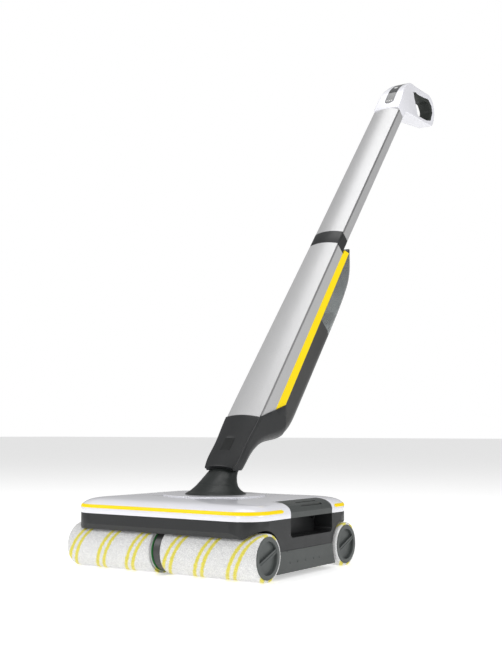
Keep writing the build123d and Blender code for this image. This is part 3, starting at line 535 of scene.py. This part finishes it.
def cover_stripe(name, front):
    """A thin coloured inlay that follows the cover's shoulder, with round ends."""
    steps = []
    whole = outline(0.0, 24, 60)
    limit = -58.0 if front else 73.0
    inside = [(x, y) for x, y in whole if (y < limit if front else y > limit)]
    # keep the run in order along the edge, from one side of the head to the other
    inside.sort(key=lambda p: atan2(p[1], p[0]) if not front else atan2(-p[1], p[0]))
    bm = bmesh.new()
    length = [0.0]
    for a, b in zip(inside, inside[1:]):
        length.append(length[-1] + hypot(b[0] - a[0], b[1] - a[1]))
    total = length[-1]
    middle, half = 87.5, 2.3
    rows = []
    for (x, y), s in zip(inside, length):
        near = min(s, total - s)
        rise = half if near >= half else half * max(1 - (1 - near / half) ** 2, 0.0004) ** 0.5
        column = []
        for side in (-1, -0.72, 0, 0.72, 1):
            z = middle + side * rise
            inset = shoulder_inset(z) - (0.22 if abs(side) < 0.9 else 0.02)
            cx = max(-(158 - 39), min(158 - 39, x))
            cy = max(-(134 - 39), min(134 - 39, y))
            out = Vector((x - cx, y - cy))
            out.normalize()
            column.append(bm.verts.new(((x - out.x * inset) * MM, (y - out.y * inset) * MM, z * MM)))
        rows.append(column)
    for first, second in zip(rows, rows[1:]):
        for k in range(4):
            bm.faces.new((first[k], first[k + 1], second[k + 1], second[k]))
    stripe = mesh_object(name, bm, "accent", "floor_head")
    thick = stripe.modifiers.new("thick", "SOLIDIFY")
    thick.thickness = 0.0007
    thick.offset = -1
    apply_modifiers(stripe)
    for polygon in stripe.data.polygons:
        polygon.use_smooth = True
    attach(stripe, "floor_head")
    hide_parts("cover_stripes")


head_cover()
cover_stripe("stripe_front", True)
cover_stripe("stripe_rear", False)


# ------------------------------------------------------------------ rubber boot
BOOT_RINGS = ((4.0, 101.95, 0.0, 45.0, 45.0), (4.0, 103.9, 0.0, 42.4, 42.4), (4.3, 106.0, 0.0, 38.8, 38.5),
              (5.3, 109.5, 0.5, 34.8, 34.0), (7.2, 113.0, 1.3, 31.8, 30.2), (9.8, 117.0, 2.8, 29.4, 27.0),
              (13.0, 121.5, 4.8, 27.3, 23.6), (17.0, 126.8, 7.0, 25.4, 20.0), (21.3, 131.6, 8.6, 24.0, 17.3),
              (26.0, 136.0, 10.0, 22.8, 15.0))


def boot_ring(position, shrink):
    """A ring of the boot at a fraction of its height, as (centre, tilt, half x, half y)."""
    columns = [[(i, ring[k]) for i, ring in enumerate(BOOT_RINGS)] for k in range(5)]
    y, z, tilt, half_x, half_y = [smooth_table(column, position * (len(BOOT_RINGS) - 1)) for column in columns]
    centre = Vector((0, y, z)) * MM
    turn = Matrix.Rotation(-radians(tilt), 3, "X")
    points = []
    for i in range(96):
        a = tau * i / 96
        spoke = Vector(((half_x - shrink) * MM * cos(a), (half_y - shrink) * MM * sin(a), 0))
        points.append(centre + turn @ spoke)
    return points


def boot_half(name, low, high, steps):
    bm = bmesh.new()
    skins = []
    for shrink in (0.0, 1.8):
        rings = []
        for step in range(steps + 1):
            position = low + (high - low) * step / steps
            ridge = 0.12 * max(0.0, sin(position * 6 * tau)) if 0.12 < position < 0.92 else 0.0
            bead = 1.0 if position > 0.955 else 0.0
            size = shrink - ridge - bead * (0.4 if shrink == 0 else 0)
            rings.append([bm.verts.new(p) for p in boot_ring(position, size)])
        bridge(bm, rings)
        skins.append(rings)
    bridge(bm, [skins[0][0], skins[1][0]])
    bridge(bm, [skins[0][-1], skins[1][-1]])
    obj = mesh_object(name, bm, "boot_rubber", None)
    obj.data.set_sharp_from_angle(angle=radians(60))
    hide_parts("joint_boot")
    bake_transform(obj)
    return obj


boot_half("boot_lower", 0.0, 0.5, 22)
boot_half("boot_upper", 0.5, 1.0, 22)


# ------------------------------------------------------------------ handle
remeshed("handle_shell", "handle_body", 0.0009, 7, "stick", "white_shell")
remeshed("handle_grip", "grip_pad", 0.0009, 6, "stick", "soft_grip")

for name, width in (("head_chassis", 0.0006), ("neck_collar", 0.0005), ("rear_housing", 0.0005), ("latch_left", 0.0005),
                    ("latch_right", 0.0005), ("dirty_tank", 0.0006), ("trim_band", 0.0004),
                    ("front_right_cap", 0.0005), ("front_left_cap", 0.0005),
                    ("rear_right_cap", 0.0005), ("rear_left_cap", 0.0005)):
    weld_and_round(name, width)


# ------------------------------------------------------------------ floor, light, camera
def floor():
    bm = bmesh.new()
    corners = [bm.verts.new((x, y, 0)) for x, y in ((-40, -40), (40, -40), (40, 40), (-40, 40))]
    bm.faces.new(corners)
    obj = mesh_object("studio_floor", bm, None, None)
    obj.data.materials.append(floor_material())


def area_light(name, place, target, size, energy, colour=(1, 1, 1)):
    data = bpy.data.lights.new(name, "AREA")
    data.shape = "RECTANGLE"
    data.size, data.size_y = size
    data.energy = energy
    data.color = colour
    obj = bpy.data.objects.new(name, data)
    obj.location = place
    obj.rotation_mode = "QUATERNION"
    obj.rotation_quaternion = (Vector(target) - Vector(place)).to_track_quat("-Z", "Y")
    COLLECTION.objects.link(obj)


def studio():
    area_light("key", (-1.7, -1.9, 1.9), (0, 0.2, 0.4), (0.9, 1.6), 31)
    area_light("front", (0.5, -2.6, 0.9), (0, 0.2, 0.35), (0.5, 1.8), 9)
    area_light("right", (2.2, 0.3, 1.2), (0, 0.2, 0.4), (0.7, 1.6), 17)
    area_light("top", (0.0, 0.2, 2.6), (0, 0.2, 0.3), (1.6, 1.6), 20)
    world = bpy.data.worlds.new("studio")
    world.use_nodes = True
    tree = world.node_tree
    seen = tree.nodes["Background"]
    seen.inputs["Color"].default_value = (1.0, 1.0, 1.0, 1.0)
    around = tree.nodes.new("ShaderNodeBackground")
    around.inputs["Color"].default_value = (1.0, 1.0, 1.0, 1.0)
    around.inputs["Strength"].default_value = 0.34
    rays = tree.nodes.new("ShaderNodeLightPath")
    chosen = tree.nodes.new("ShaderNodeMixShader")
    tree.links.new(rays.outputs["Is Camera Ray"], chosen.inputs[0])
    tree.links.new(around.outputs[0], chosen.inputs[1])
    tree.links.new(seen.outputs[0], chosen.inputs[2])
    tree.links.new(chosen.outputs[0], tree.nodes["World Output"].inputs[0])
    bpy.context.scene.world = world
    bpy.context.scene.view_settings.view_transform = "Standard"
    bpy.context.scene.view_settings.look = "None"


def camera():
    data = bpy.data.cameras.new("camera")
    data.lens = 53.15
    data.sensor_width = 36
    obj = bpy.data.objects.new("camera", data)
    COLLECTION.objects.link(obj)
    azimuth, pitch, roll = radians(33.857), radians(5.737), radians(0.127)
    forward = Vector((-sin(azimuth) * cos(pitch), cos(azimuth) * cos(pitch), sin(pitch)))
    right = forward.cross(Vector((0, 0, 1))).normalized()
    up = right.cross(forward)
    right, up = right * cos(roll) + up * sin(roll), up * cos(roll) - right * sin(roll)
    facing = Matrix((right, up, -forward)).transposed().to_4x4()
    obj.matrix_world = Matrix.Translation((0.855, -1.1787, 0.1893)) @ facing
    bpy.context.scene.camera = obj


floor()
studio()
camera()
